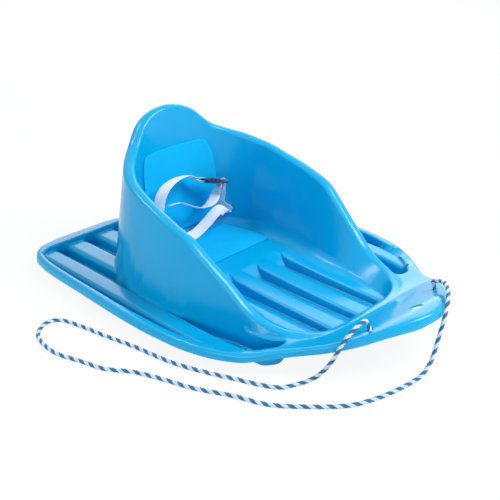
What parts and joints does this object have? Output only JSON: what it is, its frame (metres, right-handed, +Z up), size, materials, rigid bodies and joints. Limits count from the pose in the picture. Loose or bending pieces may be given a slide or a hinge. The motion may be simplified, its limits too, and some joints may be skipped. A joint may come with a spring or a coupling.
{
  "type": "toddler sled",
  "caption": "Formed plastic toddler sled with a bucket seat, ribbed footwell, foam pads, a lap belt with a side-release buckle, and a pull rope.",
  "frame": {"origin": "middle of the sled's box in plan, on the floor, measured without the rope and its knots", "axes": "-Y towards the nose, +Y towards the seat back and the rear, +Z up, -X the side that is near in the picture"},
  "size_m": [0.6756, 0.7622, 0.288],
  "materials": {
    "shell": "satin blue formed polyethylene sheet",
    "foam": "matt blue closed-cell foam",
    "webbing": "white woven webbing",
    "buckle": "near-black moulded acetal",
    "rope": "blue and white twisted rope"
  },
  "bodies": {
    "sled": {"shell": "shell", "seat_pad": "foam", "back_pad": "foam", "near_lap_strap": "webbing", "far_lap_strap": "webbing", "crease_strap": "webbing", "near_strap_stop": "buckle", "far_strap_stop": "buckle", "buckle_socket": "buckle", "pull_rope": "rope", "near_knot": "rope", "far_knot": "rope"},
    "plug": {"buckle_plug": "buckle"},
    "rear_latch": {"rear_latch_arm": "buckle"},
    "front_latch": {"front_latch_arm": "buckle"}
  },
  "joints": [
    {"name": "plug_release", "type": "slide", "parent": "sled", "child": "plug", "axis": [0.8779, -0.4204, -0.2292], "range_m": [0, 0.028], "deforming": ["far_lap_strap", "rear_latch_arm", "front_latch_arm"]},
    {"name": "rear_latch_press", "type": "hinge", "parent": "plug", "child": "rear_latch", "pos_m": [0.06875, 0.18527, 0.1317], "axis": [0.361, 0.2667, 0.8936], "range_deg": [0, 13], "stiffness_Nm_per_rad": 0.4},
    {"name": "front_latch_press", "type": "hinge", "parent": "plug", "child": "front_latch", "pos_m": [0.06353, 0.17087, 0.1381], "axis": [-0.361, -0.2667, -0.8936], "range_deg": [0, 13], "stiffness_Nm_per_rad": 0.4}
  ]
}
